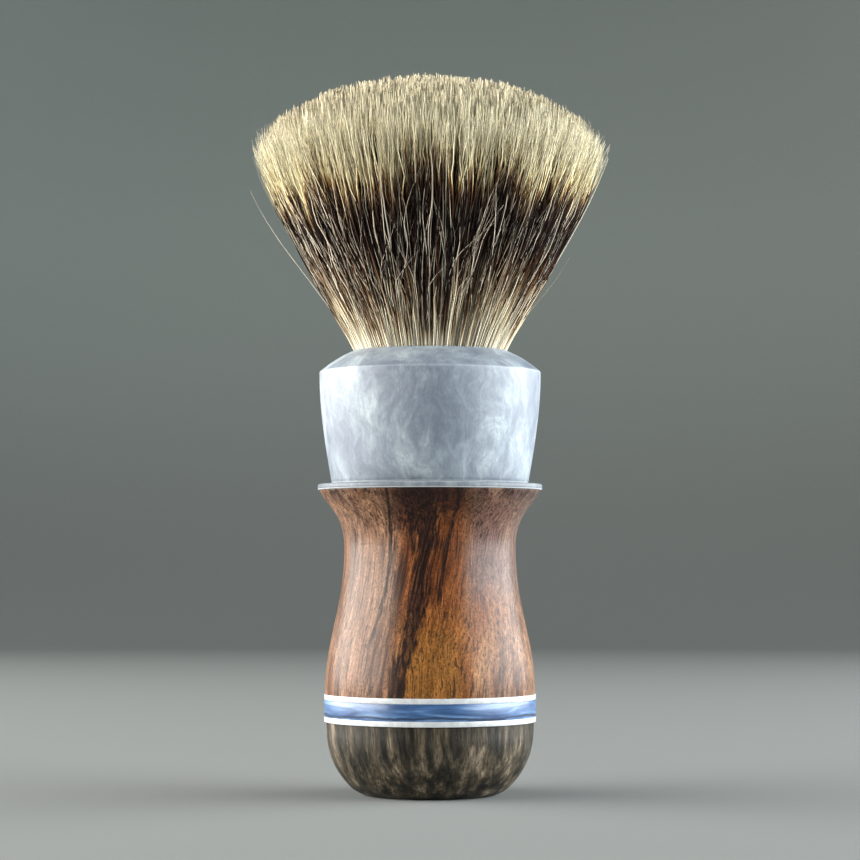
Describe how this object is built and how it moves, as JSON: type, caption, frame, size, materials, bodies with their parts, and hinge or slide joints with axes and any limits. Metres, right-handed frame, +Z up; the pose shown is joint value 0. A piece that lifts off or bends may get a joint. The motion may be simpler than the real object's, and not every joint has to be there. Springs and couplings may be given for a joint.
{
  "type": "shaving brush",
  "caption": "Upright shaving brush: turned wood and resin handle on a flat foot, with a fan-shaped hair knot set in its collar.",
  "frame": {"origin": "centre of the foot's flat underside, on the surface the brush stands on", "axes": "+Z up the handle towards the hair tips, along the axis the handle is turned on; +X to the right and +Y away from the viewer"},
  "size_m": [0.059, 0.059, 0.1198],
  "materials": {
    "dark_wood": "dark streaked hardwood, oiled and buffed to a low sheen",
    "figured_wood": "figured brown hardwood under a clear gloss finish",
    "pearl_grey_resin": "pearl silver-grey cast resin, satin polish",
    "blue_pearl_resin": "light and dark blue pearl resin, polished",
    "white_resin": "opaque white resin, polished",
    "beech": "bare sawn hardwood dowel",
    "epoxy": "amber cast epoxy",
    "cured_adhesive": "clear straw-coloured cured glue",
    "waxed_thread": "waxed cotton thread",
    "cream_hair": "cream badger-hair roots",
    "dark_hair": "near-black band of the badger hair",
    "pale_hair": "cream badger-hair tips"
  },
  "bodies": {
    "handle": {"base_cap": "dark_wood", "base_dowel": "beech", "lower_white_ring": "white_resin", "blue_ring": "blue_pearl_resin", "upper_white_ring": "white_resin", "handle_body": "figured_wood", "collar_dowel": "beech", "collar_flange": "pearl_grey_resin", "collar": "pearl_grey_resin", "knot_adhesive": "cured_adhesive", "knot_plug": "epoxy", "binding_thread": "waxed_thread", "hair_neck": "cream_hair"},
    "knot": {"hair_band": "dark_hair", "hair_tips": "pale_hair"}
  },
  "joints": [
    {"name": "knot_bend", "type": "hinge", "parent": "handle", "child": "knot", "pos_m": [0, 0, 0.0741], "axis": [0, 1, 0], "range_deg": [-25, 25], "stiffness_Nm_per_rad": 0.15, "deforming": ["hair_neck"]}
  ]
}
